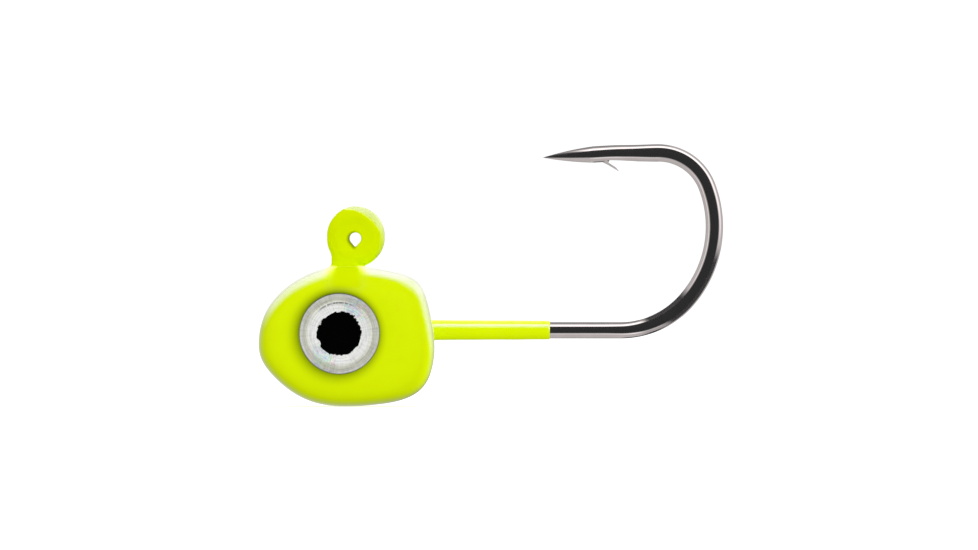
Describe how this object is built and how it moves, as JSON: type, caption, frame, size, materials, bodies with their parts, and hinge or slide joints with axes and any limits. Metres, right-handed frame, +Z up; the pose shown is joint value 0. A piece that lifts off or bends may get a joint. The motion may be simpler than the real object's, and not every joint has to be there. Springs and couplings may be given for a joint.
{
  "type": "jig head",
  "caption": "Minnow-shaped lead jig head cast on a right-angle jig hook, painted fluorescent chartreuse, with large domed silver eyes.",
  "frame": {"origin": "centre of the line-tie hole, in the plane of the hook", "axes": "+X along the shank from the head towards the bend, +Z up towards the line tie and the hook point, +Y across, towards the fish's right side"},
  "size_m": [0.0349, 0.0084, 0.0197],
  "materials": {
    "hook_black_nickel": "bright black nickel plate over forged steel wire",
    "lead": "dull cast lead",
    "fluorescent_paint": "gloss fluorescent chartreuse powder paint",
    "eye_adhesive": "pressure-sensitive adhesive foam",
    "eye_foil": "silver holographic film with fine radial grain",
    "pupil_print": "black ink",
    "clear_dome": "clear polished resin"
  },
  "bodies": {
    "root": {"hook": "hook_black_nickel", "head_casting": "lead", "paint_coat": "fluorescent_paint", "left_eye_adhesive": "eye_adhesive", "left_eye_foil": "eye_foil", "left_eye_pupil": "pupil_print", "left_eye_dome": "clear_dome", "right_eye_adhesive": "eye_adhesive", "right_eye_foil": "eye_foil", "right_eye_pupil": "pupil_print", "right_eye_dome": "clear_dome"}
  },
  "joints": []
}
